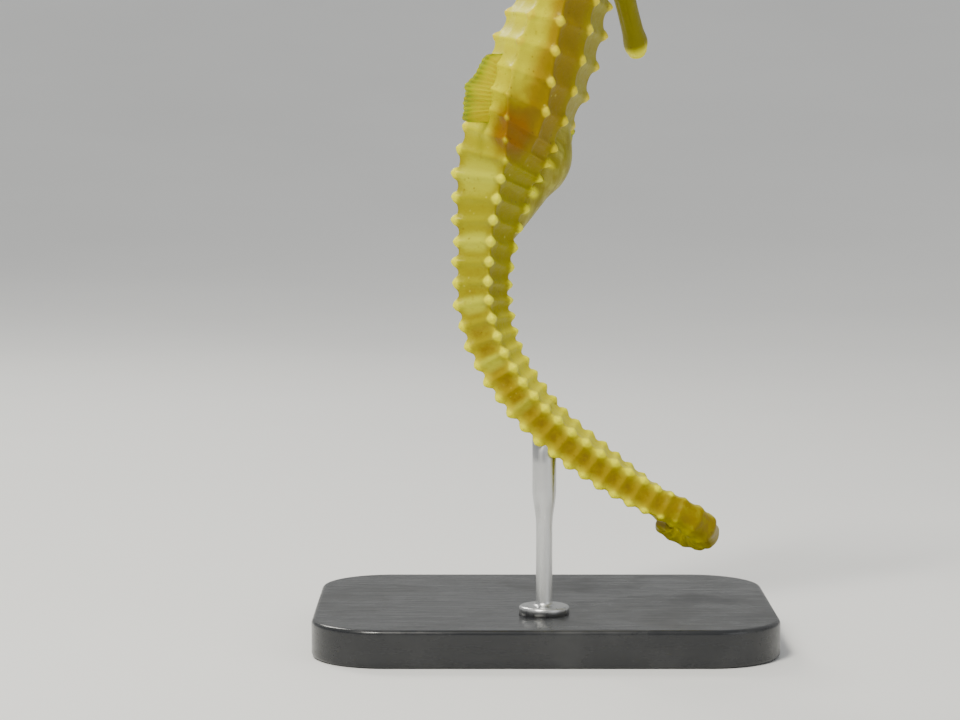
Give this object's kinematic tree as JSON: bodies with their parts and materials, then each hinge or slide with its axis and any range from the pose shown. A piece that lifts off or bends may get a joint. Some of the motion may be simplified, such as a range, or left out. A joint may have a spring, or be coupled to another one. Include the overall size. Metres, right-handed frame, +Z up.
{
  "type": "seahorse display model",
  "caption": "Life-size longsnout seahorse with a ringed, knobbed body, brood pouch, small fins and a curled tail, held on a plain flat base by a rod.",
  "frame": {"origin": "centre of the display base's underside", "axes": "+Z up along the model's height, +X along the base's long side, the way that the lower tail points, +Y along the base's short side, away from the viewer"},
  "size_m": [0.074, 0.054, 0.1307],
  "materials": {
    "skin": "satin, moist looking, bright yellow knobs on golden brown and olive skin with pale saddles",
    "fin": "thin, translucent, ray marked, greenish yellow",
    "eye": "wet gloss, golden iris round a dark pupil",
    "plinth": "satin black",
    "rod": "brushed"
  },
  "bodies": {
    "root": {"head": "skin", "snout": "skin", "mouth": "skin", "coronet": "skin", "eye_right": "eye", "eye_left": "eye", "neck": "skin", "trunk": "skin", "tail_base": "skin", "tail_upper": "skin", "tail_middle": "skin", "tail_lower": "skin", "tail_tip": "skin", "brood_pouch": "skin", "dorsal_fin": "fin", "anal_fin": "fin", "pectoral_fin_right": "fin", "pectoral_fin_left": "fin", "stand_base": "plinth", "stand_rod": "rod"}
  },
  "joints": []
}
